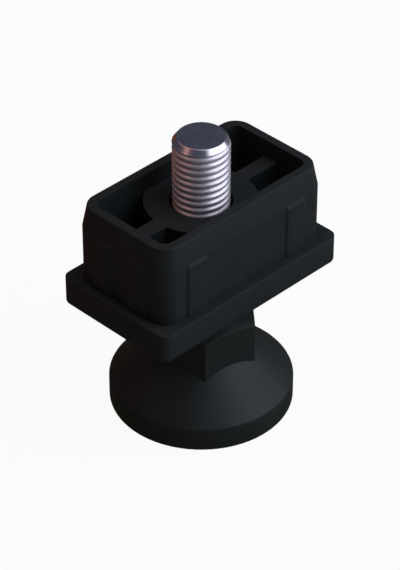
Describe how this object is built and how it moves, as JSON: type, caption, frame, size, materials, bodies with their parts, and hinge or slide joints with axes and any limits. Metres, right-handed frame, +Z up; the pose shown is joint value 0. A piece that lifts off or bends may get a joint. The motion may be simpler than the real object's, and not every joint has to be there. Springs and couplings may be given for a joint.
{
  "type": "adjustable cabinet leg",
  "caption": "Adjustable furniture leg: plastic insert for the end of a rectangular tube, threaded steel spindle and round conical foot with a spanner hexagon.",
  "frame": {"origin": "centre of the foot's underside, on the spindle's axis", "axes": "+Z up along the spindle, X along the long side of the tube, Y along its short side"},
  "size_m": [0.05, 0.0388, 0.065],
  "materials": {
    "insert_plastic": "black moulded polyamide, satin",
    "foot_plastic": "black moulded polyamide, smooth satin",
    "spindle_steel": "bright zinc-plated rolled thread",
    "nut_steel": "zinc-plated steel"
  },
  "bodies": {
    "insert": {"tube_insert": "insert_plastic", "threaded_insert": "nut_steel"},
    "spindle": {"spindle": "spindle_steel"},
    "foot": {"foot": "foot_plastic"}
  },
  "joints": [
    {"name": "spindle_travel", "type": "slide", "parent": "insert", "child": "spindle", "axis": [0, 0, -1], "range_m": [-0.0048, 0.021]},
    {"name": "foot_turn", "type": "hinge", "parent": "spindle", "child": "foot", "pos_m": [0, 0, 0.01], "axis": [0, 0, -1], "range_deg": [-1153, 5041]}
  ],
  "couplings": [
    {"joint": "foot_turn", "follows": "spindle_travel", "rad_per_m": 4188.8}
  ]
}
